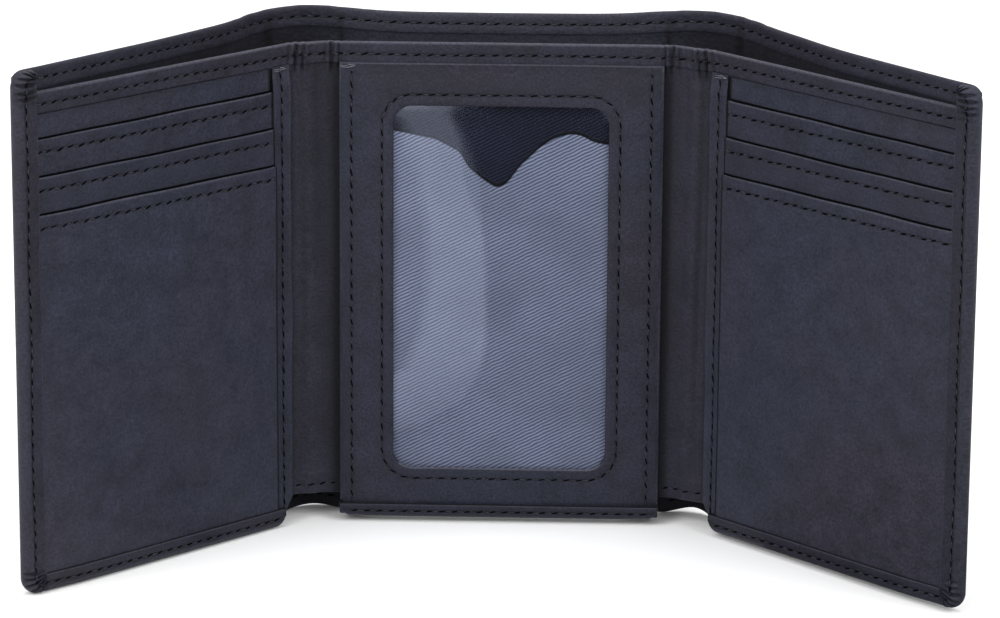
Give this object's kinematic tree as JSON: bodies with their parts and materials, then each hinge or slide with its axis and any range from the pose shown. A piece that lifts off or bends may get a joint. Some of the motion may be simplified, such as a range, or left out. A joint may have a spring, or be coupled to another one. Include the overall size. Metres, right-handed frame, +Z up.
{
  "type": "trifold wallet",
  "caption": "Leather trifold wallet standing half open: note compartment behind, stepped card pockets on both wings, and a window pocket on the centre panel.",
  "frame": {"origin": "middle of the centre panel at its bottom edge, on the front face of the inner leather", "axes": "+X to the right wing as seen from the open side, +Y to the back, +Z up"},
  "size_m": [0.1925, 0.0664, 0.108],
  "materials": {
    "outer_leather": "matte full-grain leather, dark navy charcoal",
    "inner_leather": "matte smooth leather, dark navy charcoal with faint blue patches",
    "turned_edge_leather": "matte leather turned to the inside and stitched",
    "blue_grey_twill": "fine diagonal twill lining",
    "black_cloth": "thin black lining cloth",
    "clear_vinyl": "clear glossy flexible vinyl"
  },
  "bodies": {
    "centre": {"shell_centre": "outer_leather", "shell_top_hem_centre": "turned_edge_leather", "lining_centre": "inner_leather", "lining_top_hem_centre": "turned_edge_leather", "bottom_wrap_centre": "outer_leather", "id_frame": "inner_leather", "id_window_pane": "clear_vinyl", "id_pocket_lining": "blue_grey_twill", "id_pocket_back": "black_cloth"},
    "left_spine": {"shell_left_spine": "outer_leather", "shell_top_hem_left_spine": "turned_edge_leather", "lining_left_spine": "inner_leather", "lining_top_hem_left_spine": "turned_edge_leather", "shell_bottom_hem_left_spine": "turned_edge_leather", "lining_bottom_hem_left_spine": "turned_edge_leather"},
    "left_wing": {"shell_left_wing": "outer_leather", "shell_top_hem_left_wing": "turned_edge_leather", "lining_left_wing": "inner_leather", "lining_top_hem_left_wing": "turned_edge_leather", "side_wrap_left_wing": "outer_leather", "bottom_wrap_left_wing": "outer_leather", "inner_binding_left": "inner_leather", "slip_pocket_backing_left": "black_cloth", "card_slot_left_1": "inner_leather", "card_slot_left_2": "inner_leather", "card_slot_left_3": "inner_leather", "card_slot_tail_left_1": "black_cloth", "card_slot_tail_left_2": "black_cloth"},
    "right_spine": {"shell_right_spine": "outer_leather", "shell_top_hem_right_spine": "turned_edge_leather", "lining_right_spine": "inner_leather", "lining_top_hem_right_spine": "turned_edge_leather", "shell_bottom_hem_right_spine": "turned_edge_leather", "lining_bottom_hem_right_spine": "turned_edge_leather"},
    "right_wing": {"shell_right_wing": "outer_leather", "shell_top_hem_right_wing": "turned_edge_leather", "lining_right_wing": "inner_leather", "lining_top_hem_right_wing": "turned_edge_leather", "side_wrap_right_wing": "outer_leather", "bottom_wrap_right_wing": "outer_leather", "inner_binding_right": "inner_leather", "slip_pocket_backing_right": "black_cloth", "card_slot_right_1": "inner_leather", "card_slot_right_2": "inner_leather", "card_slot_right_3": "inner_leather", "card_slot_tail_right_1": "black_cloth", "card_slot_tail_right_2": "black_cloth"}
  },
  "joints": [
    {"name": "left_spine_fold", "type": "hinge", "parent": "centre", "child": "left_spine", "pos_m": [-0.0339, 0, 0.054], "axis": [0, 0, 1], "range_deg": [-10, 30]},
    {"name": "left_wing_fold", "type": "hinge", "parent": "left_spine", "child": "left_wing", "pos_m": [-0.04296, -0.0016, 0.054], "axis": [0, 0, 1], "range_deg": [-35, 105]},
    {"name": "right_spine_fold", "type": "hinge", "parent": "centre", "child": "right_spine", "pos_m": [0.0339, 0, 0.054], "axis": [0, 0, -1], "range_deg": [-21.5, 57]},
    {"name": "right_wing_fold", "type": "hinge", "parent": "right_spine", "child": "right_wing", "pos_m": [0.04247, -0.00336, 0.054], "axis": [0, 0, -1], "range_deg": [-23.6, 62.8]}
  ],
  "couplings": [
    {"joint": "left_spine_fold", "follows": "left_wing_fold", "ratio": 0.2857},
    {"joint": "right_spine_fold", "follows": "right_wing_fold", "ratio": 0.9068}
  ]
}
